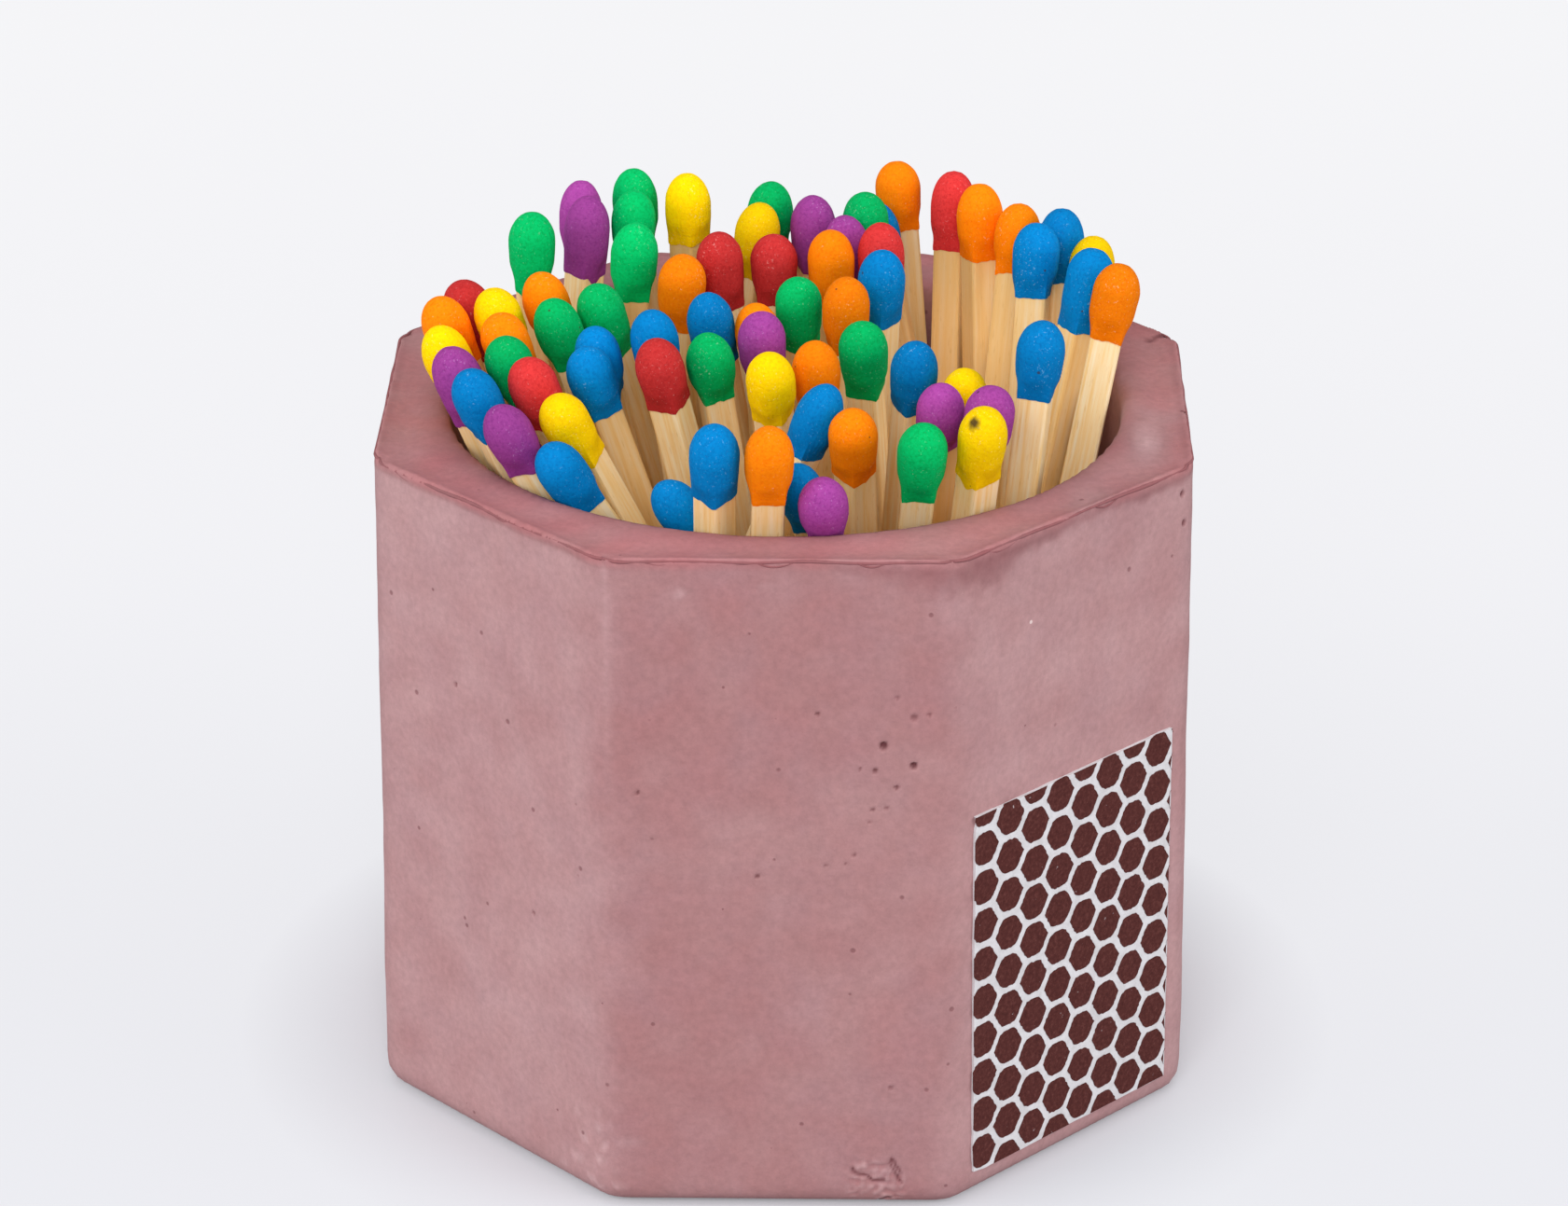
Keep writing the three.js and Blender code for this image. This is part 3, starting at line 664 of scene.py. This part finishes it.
def rim_flash():
    """The thin seam of plaster that crept over the mould's edge: a wavering bead round the outer rim."""
    line = bpy.data.curves.new("rim_flash", "CURVE")
    line.dimensions = "3D"
    line.bevel_depth = 1 * MM
    line.bevel_resolution = 1
    line.use_fill_caps = True
    corner = RIM_APOTHEM * math.tan(FACET_TURN / 2)
    step = 0.35
    beads = int(2 * corner / step)
    path = []
    for facet in range(FACETS):
        across, outward = facet_frame(FRONT + facet * FACET_TURN)
        for i in range(beads):
            along = -corner + 2 * corner * i / beads
            near_corner = max(0.0, abs(along) - corner + 1.2)
            here = across * along + outward * (RIM_APOTHEM - 0.03 - 0.34 * near_corner ** 2)
            waver = noise.noise(Vector(here) / 2.4)
            lift = noise.noise(Vector(here) / 3.6 + Vector((9, 3, 4)))
            here = here + outward * (0.04 * waver)
            thick = 0.09 + 0.06 * noise.noise(Vector(here) / 2.6 + Vector((2, 8, 1)))
            path.append((here[0], here[1], POT_HEIGHT - 0.16 + 0.12 * lift, max(thick, 0.05)))
    spline = line.splines.new("POLY")
    spline.points.add(len(path) - 1)
    spline.use_cyclic_u = True
    for point, (px, py, pz, thick) in zip(spline.points, path):
        point.co = (px * MM, py * MM, pz * MM, 1)
        point.radius = thick
    # Where it lifted: a second bead that bows down from the first
    for facet, middle, length, bow in LIFTED:
        across, outward = facet_frame(FRONT + facet * FACET_TURN)
        loop = line.splines.new("POLY")
        points = 12
        loop.points.add(points)
        for i, point in enumerate(loop.points):
            share = i / points
            sag = math.sin(math.pi * share) * bow
            here = across * (middle + length * (share - 0.5)) + outward * (RIM_APOTHEM - 0.02)
            point.co = (here[0] * MM, here[1] * MM, (POT_HEIGHT - 0.18 - sag) * MM, 1)
            point.radius = 0.07
    flash = bpy.data.objects.new("rim_flash", line)
    put_in_scene(flash)
    make_active(flash)
    bpy.ops.object.convert(target="MESH")
    bpy.ops.object.shade_smooth()
    places = points_of(flash) / MM
    keep_at_points(flash, "tone", 0.5 + 0.4 * cloud(places, 1.5, 8))
    keep_at_points(flash, "darkened", np.full(len(places), 0.6))
    flash.data.materials.clear()
    flash.data.materials.append(PLASTER)
    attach(flash, "pot")


# Striker label

def label_seat():
    """From the label's own frame, x across, y up and z out in millimetres, to its facet."""
    across, outward = (Vector(way) for way in facet_frame(LABEL_ANGLE))
    flare = BASE_APOTHEM - RIM_APOTHEM
    upward = (Vector((0, 0, POT_HEIGHT)) - outward * flare).normalized()
    normal = across.cross(upward)
    turn = Matrix((across, upward, normal)).transposed().to_4x4()
    return Matrix.Translation(outward * BASE_APOTHEM * MM) @ turn


def seat_label_piece(piece, name, material):
    piece.name = name
    make_active(piece)
    piece.data.transform(label_seat())
    piece.data.materials.clear()
    piece.data.materials.append(material)
    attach(piece, "pot")


def striker_paper():
    """The label's paper: a sheet with cut edges that waver a little, a nick and a frayed corner."""
    columns, rows = 44, 62
    deselect()
    bpy.ops.mesh.primitive_grid_add(
        x_subdivisions=columns, y_subdivisions=rows, size=1,
        location=(0, (LABEL_FOOT + LABEL_HEIGHT / 2) * MM, PAPER_FACE * MM))
    paper = bpy.context.object
    paper.scale = (LABEL_WIDTH * MM, LABEL_HEIGHT * MM, 1)
    apply_place()
    left, right = -LABEL_WIDTH / 2, LABEL_WIDTH / 2
    foot, top = LABEL_FOOT, LABEL_FOOT + LABEL_HEIGHT
    for vertex in paper.data.vertices:
        x, y, z = vertex.co / MM
        waver = 0.05 * noise.noise(Vector((x, y, 0)) / 1.4)
        if min(x - left, right - x) < 0.01:
            x += waver
        if min(y - foot, top - y) < 0.01:
            y += waver
        # A frayed lower left corner and a nick at the upper left
        frayed = max(0.0, 1.0 - math.hypot(x - left, y - foot) / 1.1)
        nick = max(0.0, 1.0 - math.hypot(x - left, y - top + 0.4) / 0.5)
        x += 0.25 * frayed * (0.6 + noise.noise(Vector((x, y, 3)) / 0.4)) + 0.18 * nick
        y += 0.15 * frayed
        curl = 0.06 * noise.noise(Vector((x, y, 7)) / 7)
        vertex.co = Vector((x, y, z + curl * 0.3)) * MM
    apply_modifier(paper, "SOLIDIFY", thickness=(PAPER_FACE + PAPER_SUNK) * MM, offset=-1.0)
    seat_label_piece(paper, "striker_paper", LABEL_PAPER)
    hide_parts("striker_label")


# The honeycomb, in millimetres: how far apart its columns and rows are, the size of a cell, and where the
# first cell's middle is, in from the label's left edge and up from its top
COLUMN_PITCH = 2.2
ROW_PITCH = 2.62
CELL_WIDTH = 2.44
CELL_HEIGHT = 2.22
FIRST_COLUMN = 0.8
FIRST_ROW = 0.31


def striker_cells():
    """The printed honeycomb: raised cells with ragged edges, cut off at the label's edges."""
    draw = random.Random(4)
    points = 40
    left = -LABEL_WIDTH / 2
    foot, top = LABEL_FOOT, LABEL_FOOT + LABEL_HEIGHT
    level = PAPER_FACE - 0.02
    deselect()
    bpy.ops.mesh.primitive_circle_add(vertices=points, radius=CELL_WIDTH / 2 * MM, fill_type="NGON")
    cells = bpy.context.object
    edit("FACE")
    bpy.ops.mesh.delete(type="VERT")
    column = 0
    across = left + FIRST_COLUMN
    middles = []
    while across - CELL_WIDTH / 2 < -left:
        height = top + FIRST_ROW - (ROW_PITCH / 2 if column % 2 else 0)
        while height + CELL_HEIGHT / 2 > foot:
            middles.append((across, height))
            height -= ROW_PITCH
        across += COLUMN_PITCH
        column += 1
    for across, height in middles:
        bpy.ops.mesh.primitive_circle_add(
            vertices=points, radius=CELL_WIDTH / 2 * MM, fill_type="NGON",
            location=(across * MM, height * MM, level * MM))
    mesh = bmesh.from_edit_mesh(cells.data)
    mesh.verts.ensure_lookup_table()
    for i, (across, height) in enumerate(middles):
        swell = draw.uniform(0.96, 1.02)
        for vertex in mesh.verts[i * points:(i + 1) * points]:
            side = vertex.co.x / MM - across
            up = vertex.co.y / MM - height
            angle = math.atan2(up, side)
            # The hexagon's edge in this direction, with its corners a little rounded
            flat = CELL_HEIGHT / 2 / max(abs(math.sin(angle)), 1e-6)
            slant_x, slant_y = CELL_HEIGHT / 2, CELL_WIDTH / 4
            toward_slant = slant_x * abs(math.cos(angle)) + slant_y * abs(math.sin(angle))
            slope = CELL_WIDTH / 2 * slant_x / toward_slant
            reach = (flat ** -9 + slope ** -9) ** (-1 / 9)
            ragged = 0.08 * noise.noise(Vector((across + side, height + up, 5)) / 0.2)
            reach = reach * swell + ragged
            vertex.co.x = (across + reach * math.cos(angle)) * MM
            vertex.co.y = (height + reach * math.sin(angle)) * MM
    bmesh.update_edit_mesh(cells.data)
    inset = 0.03
    for across, height, outward in [
            (left + inset, 0, (-1, 0, 0)), (-left - inset, 0, (1, 0, 0)),
            (0, foot + inset, (0, -1, 0)), (0, top - inset, (0, 1, 0))]:
        cut((across, height, 0), outward, clear_outer=True, use_fill=False)
    bpy.ops.mesh.select_all(action="SELECT")
    bpy.ops.mesh.extrude_region_move(TRANSFORM_OT_translate={"value": (0, 0, PRINT * MM)})
    bpy.ops.mesh.select_all(action="SELECT")
    bpy.ops.mesh.normals_make_consistent(inside=False)
    end_edit()
    seat_label_piece(cells, "striker_cells", COMPOUND)


# Matches

# The splint, in millimetres: how far its end is under the head's tip, its eased edges, and the heights of
# its rings, closer together near the head, so that it can bow and stain
SPLINT_UNDER_TIP = 1.4
EASED_EDGE = 0.2
RINGS = (6, 14, 22, 29, 34, 36.5, 38, 39)


def match_master():
    """One match standing on the origin: a square splint with eased edges, and a ball over its end."""
    splint_end = MATCH_LENGTH - SPLINT_UNDER_TIP
    deselect()
    bpy.ops.mesh.primitive_cube_add(size=1, location=(0, 0, splint_end / 2 * MM))
    splint = bpy.context.object
    splint.scale = (SPLINT_WIDTH * MM, SPLINT_WIDTH * MM, splint_end * MM)
    apply_place()
    edit("EDGE")
    select_edges(splint, lambda a, b: abs(a.z - b.z) > 1)
    bpy.ops.mesh.bevel(offset=EASED_EDGE * MM, segments=2, affect="EDGES")
    for height in RINGS:
        cut((0, 0, height), (0, 0, 1))
    end_edit()
    splint.data.materials.append(ASPEN)
    splint_points = len(splint.data.vertices)
    deselect()
    bpy.ops.mesh.primitive_uv_sphere_add(segments=32, ring_count=24, radius=1 * MM)
    ball = bpy.context.object
    ball.data.materials.append(HEADS["blue"])
    deselect()
    ball.select_set(True)
    splint.select_set(True)
    bpy.context.view_layer.objects.active = splint
    bpy.ops.object.join()
    return splint, splint_points


def shape_match(points, splint_points, draw, trim):
    """A match's own shape, in millimetres: its splint bows a little, and its paste ran down the splint."""
    shaped = points.copy()
    bow = (draw.uniform(-0.07, 0.07), draw.uniform(-0.07, 0.07))
    trim = trim * draw.uniform(0.95, 1.0)
    splint = shaped[:splint_points]
    bend = np.sin(np.pi * splint[:, 2] / MATCH_LENGTH)
    splint[:, :2] *= trim
    splint[:, 0] += bow[0] * bend
    splint[:, 1] += bow[1] * bend
    ball = points[splint_points:]
    angle = np.arctan2(ball[:, 1], ball[:, 0])
    rise = np.arccos(np.clip(-ball[:, 2], -1, 1)) / np.pi
    seed = draw.uniform(0, 50)
    round_edge = np.array([np.cos(angle), np.sin(angle), np.full_like(angle, seed)]).T
    length = draw.uniform(HEAD_LENGTH - 0.5, HEAD_LENGTH + 0.4)
    run_angle = draw.uniform(-math.pi, math.pi)
    run = draw.choice((0.0, 0.25, 0.6))
    turned = np.abs((angle - run_angle + np.pi) % (2 * np.pi) - np.pi)
    edge = -length + 0.14 * cloud(round_edge, 0.8, 1) + 0.12 * cloud(round_edge, 0.3, 2)
    edge = edge - run * np.clip(1 - turned / 0.5, 0, 1)
    # Heights from the edge to the tip, and the width there: square on the splint, then round
    height = edge * (1 - rise) ** 1.15
    widest = -draw.uniform(1.8, 2.3)
    radius = HEAD_RADIUS * draw.uniform(0.965, 0.995) * (1 + trim) / 2
    above = np.sqrt(np.clip(1 - (np.clip(height - widest, 0, None) / -widest) ** 2, 0, 1))
    fall = np.clip((widest - height) / (length + widest), 0, 1)
    below = 1 - draw.uniform(0.1, 0.2) * fall ** 1.6
    ball_reach = radius * np.where(height > widest, above, below)
    half = SPLINT_WIDTH / 2 * trim
    square = half / (np.abs(np.cos(angle)) ** 14 + np.abs(np.sin(angle)) ** 14) ** (1 / 14)
    skin = 0.13 * smooth_step(0.0, 0.06, rise) - 0.05
    blend = smooth_step(0.03, 0.33, rise)
    reach = (1 - blend) * (square + skin) + blend * ball_reach
    sand = cloud(np.array([angle * 1.5, height, np.full_like(height, seed)]).T, 0.42, 3)
    lumps = cloud(np.array([np.cos(angle) * 1.5, np.sin(angle) * 1.5, height + seed]).T, 1.4, 4)
    dome = smooth_step(0.04, 0.2, rise)
    reach = reach + dome * np.sqrt(np.clip(reach / radius, 0, 1)) * (0.014 * sand + 0.03 * (lumps - 0.4))
    lower_pole = rise < 0.0001
    reach[lower_pole | (rise > 0.9999)] = 0
    shaped[splint_points:, 0] = reach * np.cos(angle)
    shaped[splint_points:, 1] = reach * np.sin(angle)
    shaped[splint_points:, 2] = MATCH_LENGTH + height
    shaped[splint_points:][lower_pole, 2] = MATCH_LENGTH - length + 1.0
    below_head = MATCH_LENGTH - length - shaped[:, 2]
    return shaped, below_head


# The one head with a scorched spot, up and to the left of its tip as seen
SCORCHED = "match_53_yellow"
SCORCH_SIDE = (-0.75, -0.9, 0.4)


def put_match(name, colour, foot, axis, side, seed, body, node=None, trim=1.0):
    """A copy of the match with a shape of its own, stood on its foot along its axis."""
    draw = random.Random(seed)
    shaped, below_head = shape_match(MASTER_POINTS, MASTER_SPLINT, draw, trim)
    match = MASTER.copy()
    match.data = MASTER.data.copy()
    match.name = name
    put_in_scene(match)
    third = axis.cross(side).normalized()
    turn = np.array([third.cross(axis).normalized(), third, axis]).T
    placed = shaped @ turn.T + np.array(foot)
    match.data.vertices.foreach_set("co", (placed * MM).ravel())
    own_place = (shaped + np.array([seed * 13.0, seed * 7.0, seed * 29.0])) * MM
    scorch = np.zeros(len(placed))
    if node == SCORCHED:
        spot = np.array(foot) + np.array(axis) * (MATCH_LENGTH - 1.0) + np.array(SCORCH_SIDE)
        scorch = smooth_step(0.55, 0.3, np.linalg.norm(placed - spot, axis=1))
    keep_at_points(match, "own_place", own_place)
    keep_at_points(match, "below_head", below_head)
    keep_at_points(match, "scorch", scorch)
    match.data.materials[1] = HEADS[colour]
    match.data.update()
    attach(match, body)
    if node:
        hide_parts(node)


def cad_rod(node, axis):
    """The foot and one side direction of a CAD match, in millimetres, from its lowest corners."""
    places = points_of(frame["nodes"][node]) / MM
    along = places @ np.array(axis)
    corners = np.unique(places[along < along.min() + 0.01].round(3), axis=0)
    foot = corners.mean(axis=0)
    diagonal = Vector(corners[0] - foot).normalized()
    side = (Matrix.Rotation(math.pi / 4, 3, Vector(axis)) @ diagonal).normalized()
    return Vector(foot), side


def settle_cad_matches():
    """Each match of the CAD model, dressed. Returns their feet and axes, in millimetres."""
    rods = {}
    for number, joint in enumerate(frame["joints"], start=1):
        node = joint["child"]
        axis = Vector(joint["axis"]).normalized()
        foot, side = cad_rod(node, axis)
        colour = node.split("_")[-1]
        put_match(f"dressed_{node}", colour, foot, axis, side, number, node, node)
        rods[node] = (np.array(foot), np.array(axis))
    return rods


# Matches whose heads show only in part: their colour, the column and row of their top in the photograph,
# and a match that they stand behind
PARTLY_SEEN = [
    ("yellow", 842, 239, None), ("blue", 620, 341, None), ("orange", 790, 311, None),
    ("blue", 884, 441, "match_55_orange"), ("yellow", 1184, 289, "match_16_orange"),
    ("blue", 873, 514, "match_58_purple"), ("yellow", 1052, 412, "match_51_purple"),
    ("green", 671, 205, None), ("purple", 608, 215, "match_02_purple"),
    ("blue", 907, 250, "match_37_red"), ("purple", 890, 248, "match_36_orange"),
    ("purple", 990, 212, "match_09_orange"), ("blue", 992, 236, "match_09_orange"),
    ("yellow", 1004, 262, "match_09_orange"), ("blue", 740, 545, None), ("red", 950, 536, None),
]

# A match's cap is the middle of its rounded tip: its pixels under the top, and its height on the match
CAP_PIXELS = 26
CAP_HEIGHT = MATCH_LENGTH - HEAD_RADIUS
# They stand just off the pot's floor. Gaps are measured at these heights, with a head's reach above a neck
STAND = FLOOR_THICKNESS + 0.3
STATIONS = np.array([1, 5, 9, 13, 17, 21, 25, 28, 31, 34, 36.5, 39, 40.5, 42.4])
NECK = 38.8
SPLINT_REACH = 1.15
HEAD_REACH = 1.5
# They are slimmer than the others, and left out where the gap would be less than the tightest one
SLIM = 0.12
SLIM_TRIM = 0.9
TIGHTEST = -0.25
# The search: so many pixels round the top as seen, these distances from the eye and all ways to lean, in
# steps of pixels, millimetres and degrees, which get finer in each round about the best tries
SEARCH_PIXELS = 30
PIXEL_STEP = 10.0
NEAREST_TRY = 284
FARTHEST_TRY = 370
DISTANCE_STEP = 2.0
LEAN_STEP = 24
SEARCH_ROUNDS = 8
FINER = 0.55
BEST_KEPT = 12
MID_SPLINT = 20


def stand_matches(tries):
    """Feet and axes of matches whose caps lie on a sight line, at a distance, and lean a given way."""
    columns, rows, distances, ways = tries.T
    ahead = np.full_like(rows, -FOCAL_PIXELS)
    rays = np.stack([columns - PHOTO_WIDTH / 2, PHOTO_HEIGHT / 2 - rows, ahead], -1)
    rays /= np.linalg.norm(rays, axis=1)[:, None]
    caps = np.array(EYE_MM) + rays @ np.array(camera.rotation_euler.to_matrix()).T * distances[:, None]
    rise = caps[:, 2] - STAND
    run = np.sqrt(np.maximum(CAP_HEIGHT ** 2 - rise ** 2, 0))
    feet = caps + np.stack([run * np.cos(ways), run * np.sin(ways), -rise], -1)
    axes = (caps - feet) / CAP_HEIGHT
    at_rim = feet + axes * ((POT_HEIGHT - STAND) / np.maximum(axes[:, 2], 0.1))[:, None]
    fits = np.hypot(feet[:, 0], feet[:, 1]) < BORE_FLOOR_RADIUS - HEAD_REACH
    fits &= np.hypot(at_rim[:, 0], at_rim[:, 1]) < BORE_RIM_RADIUS - HEAD_REACH
    fits &= (rise < CAP_HEIGHT) & (rise > 0.75 * CAP_HEIGHT)
    return feet, axes, fits


def room_left(feet, axes, rods):
    """The least gap of each match to the others, on all the way that these are pulled out."""
    points = feet[:, None, :] + axes[:, None, :] * STATIONS[None, :, None]
    own = np.where(STATIONS > NECK, HEAD_REACH, SPLINT_REACH) - SLIM
    least = np.full(len(feet), 9.0)
    for foot, axis in rods:
        apart = points - foot
        along = np.clip(apart @ axis, 0, MATCH_LENGTH + PULL_OUT)
        distance = np.linalg.norm(apart - along[..., None] * axis, axis=-1)
        gap = distance - np.where(along > NECK, HEAD_REACH, SPLINT_REACH) - own
        least = np.minimum(least, gap.min(axis=1))
    return least


def judge(tries, column, row, nearest, rods):
    """How good each try is: room first, then how near its cap is to where the photograph shows it."""
    feet, axes, fits = stand_matches(tries)
    fits &= tries[:, 2] > nearest
    room = np.full(len(tries), -9.0)
    room[fits] = room_left(feet[fits], axes[fits], rods)
    away = np.hypot(tries[:, 0] - column, tries[:, 1] - row)
    return np.minimum(room, 0.05) - 0.004 * away, room


def slip_in_partly_seen(rods):
    """Slimmer matches, slipped in where the others leave room for them, close to where they are seen."""
    seen_rods = rods
    rods = list(seen_rods.values())
    for number, (colour, column, top, front) in enumerate(PARTLY_SEEN, start=1):
        row = top + CAP_PIXELS
        nearest = 0.0
        if front:
            foot, axis = seen_rods[front]
            nearest = np.linalg.norm(foot + axis * CAP_HEIGHT - np.array(EYE_MM)) + 0.5
        near = np.arange(-SEARCH_PIXELS, SEARCH_PIXELS + 1, PIXEL_STEP)
        tries = np.array(np.meshgrid(
            column + near, row + near, np.arange(NEAREST_TRY, FARTHEST_TRY, DISTANCE_STEP),
            np.radians(np.arange(0, 360, LEAN_STEP)))).reshape(4, -1).T
        step = np.array([PIXEL_STEP, PIXEL_STEP, DISTANCE_STEP, math.radians(LEAN_STEP)])
        nudges = np.array(np.meshgrid(*[(-1, 0, 1)] * 4)).reshape(4, -1).T
        for _ in range(SEARCH_ROUNDS):
            worth, room = judge(tries, column, row, nearest, rods)
            best = np.argsort(-worth, kind="stable")[:BEST_KEPT]
            leaders, space = tries[best], room[best[0]]
            step = step * FINER
            tries = (leaders[:, None, :] + nudges[None] * step).reshape(-1, 4)
        if space < TIGHTEST:
            continue
        feet, axes, _ = stand_matches(leaders[:1])
        foot, axis = feet[0], axes[0]
        middle = foot + axis * MID_SPLINT
        others = [other_foot + other_axis * MID_SPLINT for other_foot, other_axis in rods]
        side = Vector(min(others, key=lambda other: np.linalg.norm(other - middle)) - middle)
        side = (side - Vector(axis) * side.dot(Vector(axis))).normalized()
        put_match(f"slipped_in_{number:02d}_{colour}", colour, Vector(foot), Vector(axis), side,
                  100 + number, "pot", trim=SLIM_TRIM)
        rods.append((foot, axis))


MASTER, MASTER_SPLINT = match_master()
MASTER_POINTS = points_of(MASTER) / MM

cast_pot()
rim_flash()
striker_paper()
striker_cells()
slip_in_partly_seen(settle_cad_matches())
bpy.data.objects.remove(MASTER)


# Floor and light

def pale_floor():
    """A seamless sweep of white card: it shows as the pale ground, and keeps the pot's soft shadow."""
    deselect()
    bpy.ops.mesh.primitive_plane_add(size=4, location=(0, 0, 0))
    floor = bpy.context.object
    floor.name = "floor"
    material, add, shader = new_material("white_card")
    place = add("SeparateXYZ", {"Vector": add("TexCoord").outputs["Object"]})
    # Painted fall of light: the card's colour and its glow both get darker towards the front
    depth = add("MapRange", {"Value": place.outputs["Y"], "From Min": -0.05, "From Max": 0.2})
    tint = add("ValToRGB", {"Fac": depth},
               stops=[(0.0, "#d0d1d8"), (0.5, "#d9d9df"), (1.0, "#dfdfe3")])
    seen = add("LightPath").outputs
    direct = add("Math", {0: seen["Is Camera Ray"], 1: seen["Is Glossy Ray"]}, operation="MAXIMUM")
    through = add("Math", {0: direct, 1: seen["Is Transmission Ray"]}, operation="MAXIMUM")
    card = add("Mix", {"Factor": through, "A": linear("#b0b0b4"), "B": tint}, data_type="RGBA")
    plug(shader, {"Base Color": card, "Roughness": 0.9})
    # Less of its own glow close to the pot, where the contact shadow is
    flat = add("CombineXYZ", {"X": place.outputs["X"], "Y": place.outputs["Y"]})
    away = add("VectorMath", {0: flat}, operation="LENGTH")
    glowing = add("MapRange", {
        "Value": away, "From Min": BASE_APOTHEM * MM, "From Max": 36 * MM, "To Min": 0.2, "To Max": 0.77})
    share = add("Math", {0: through, 1: glowing}, operation="MULTIPLY")
    ground = add("ValToRGB", {"Fac": depth},
                 stops=[(0.0, "#eeeff4"), (0.5, "#f7f7fa"), (1.0, "#fcfcfe")])
    glow = add("Emission", {"Color": ground})
    mix = add("MixShader", {"Fac": share, 1: shader, 2: glow})
    plug(material.node_tree.nodes["Material Output"], {"Surface": mix})
    floor.data.materials.append(material)


def soft_light(name, place, size, watts):
    """A square soft box that faces the pot."""
    data = bpy.data.lights.new(name, "AREA")
    data.shape = "SQUARE"
    data.size = size
    data.energy = watts
    lamp = bpy.data.objects.new(name, data)
    lamp.location = place
    aim = Vector((0, 0, 0.03)) - Vector(place)
    lamp.rotation_euler = aim.to_track_quat("-Z", "Y").to_euler()
    put_in_scene(lamp)


pale_floor()
soft_light("overhead_box", (0.0, 0.0, 0.85), 0.8, 2.2)
soft_light("front_box", (-0.12, -0.91, 0.62), 0.6, 7.2)
soft_light("left_box", (-0.85, -0.30, 0.42), 0.6, 3.4)
soft_light("right_box", (0.85, -0.30, 0.42), 0.6, 4.0)
world = bpy.data.worlds.new("studio")
bpy.context.scene.world = world
world.use_nodes = True
plug(world.node_tree.nodes["Background"], {"Color": linear("#ffffff"), "Strength": 0.32})
bpy.context.scene.view_settings.view_transform = "Standard"
